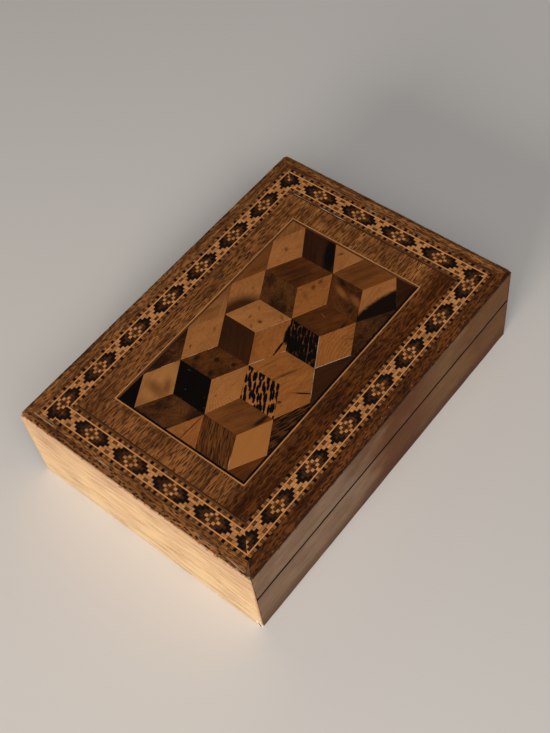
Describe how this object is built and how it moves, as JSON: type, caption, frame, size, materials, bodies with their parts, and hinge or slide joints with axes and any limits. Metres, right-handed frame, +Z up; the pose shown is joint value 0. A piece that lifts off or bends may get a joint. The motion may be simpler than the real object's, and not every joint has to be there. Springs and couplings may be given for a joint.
{
  "type": "wooden puzzle box",
  "caption": "Low rectangular inlaid wooden box with a hinged lid, cube parquetry, mosaic bands and an end panel that slides down.",
  "frame": {"origin": "centre of the underside, on the surface the box stands on", "axes": "+X along the long side from the sliding end to the fixed end, +Y from the front to the hinged back, +Z up"},
  "size_m": [0.15, 0.105, 0.0388],
  "materials": {
    "walnut": "brown walnut, smooth satin wax, fine lengthwise grain",
    "board_wood": "plain pale softwood, planed",
    "pale_veneer": "pale warm tan veneer, satin, straight grain across the end",
    "banding_walnut": "dark open-grained banding, worn wax",
    "tessera_mosaic": "small end-grain blocks of black, brown and tan woods",
    "border_walnut": "warm brown walnut veneer with short dark pores",
    "boxwood_string": "pale line of boxwood",
    "ebony_string": "black-stained line",
    "mixed_parquetry": "cube parquetry of light burr, brown and black woods",
    "brass": "aged brass"
  },
  "bodies": {
    "tray": {"base_board": "board_wood", "front_wall": "walnut", "back_wall": "walnut", "near_cross_wall": "walnut", "far_cross_wall": "walnut", "far_end_core": "walnut", "far_end_veneer": "walnut", "near_hinge_lower_leaf": "brass", "near_hinge_pin": "brass", "near_hinge_lower_screw_1": "brass", "near_hinge_lower_screw_2": "brass", "far_hinge_lower_leaf": "brass", "far_hinge_pin": "brass", "far_hinge_lower_screw_1": "brass", "far_hinge_lower_screw_2": "brass"},
    "sliding_end": {"sliding_end_core": "walnut", "sliding_end_veneer": "pale_veneer", "sliding_end_front_tongue": "walnut", "sliding_end_back_tongue": "walnut"},
    "lid": {"lid_board": "board_wood", "lid_front_rail": "walnut", "lid_back_rail": "walnut", "lid_near_rail": "walnut", "lid_far_rail": "walnut", "banding_front": "banding_walnut", "banding_back": "banding_walnut", "banding_near": "banding_walnut", "banding_far": "banding_walnut", "mosaic_front": "tessera_mosaic", "mosaic_back": "tessera_mosaic", "mosaic_near": "tessera_mosaic", "mosaic_far": "tessera_mosaic", "inner_line_near": "ebony_string", "inner_line_far": "ebony_string", "border_veneer": "border_walnut", "light_string_front": "boxwood_string", "light_string_back": "boxwood_string", "light_string_near": "boxwood_string", "light_string_far": "boxwood_string", "dark_string_front": "ebony_string", "dark_string_back": "ebony_string", "dark_string_near": "ebony_string", "dark_string_far": "ebony_string", "parquetry_panel": "mixed_parquetry", "near_hinge_upper_leaf": "brass", "near_hinge_upper_screw_1": "brass", "near_hinge_upper_screw_2": "brass", "far_hinge_upper_leaf": "brass", "far_hinge_upper_screw_1": "brass", "far_hinge_upper_screw_2": "brass"}
  },
  "joints": [
    {"name": "lid_hinge", "type": "hinge", "parent": "tray", "child": "lid", "pos_m": [0, 0.0515, 0.0223], "axis": [-1, 0, 0], "range_deg": [0, 90]},
    {"name": "end_panel_slide", "type": "slide", "parent": "tray", "child": "sliding_end", "axis": [0, 0, -1], "range_m": [0, 0.012]}
  ]
}
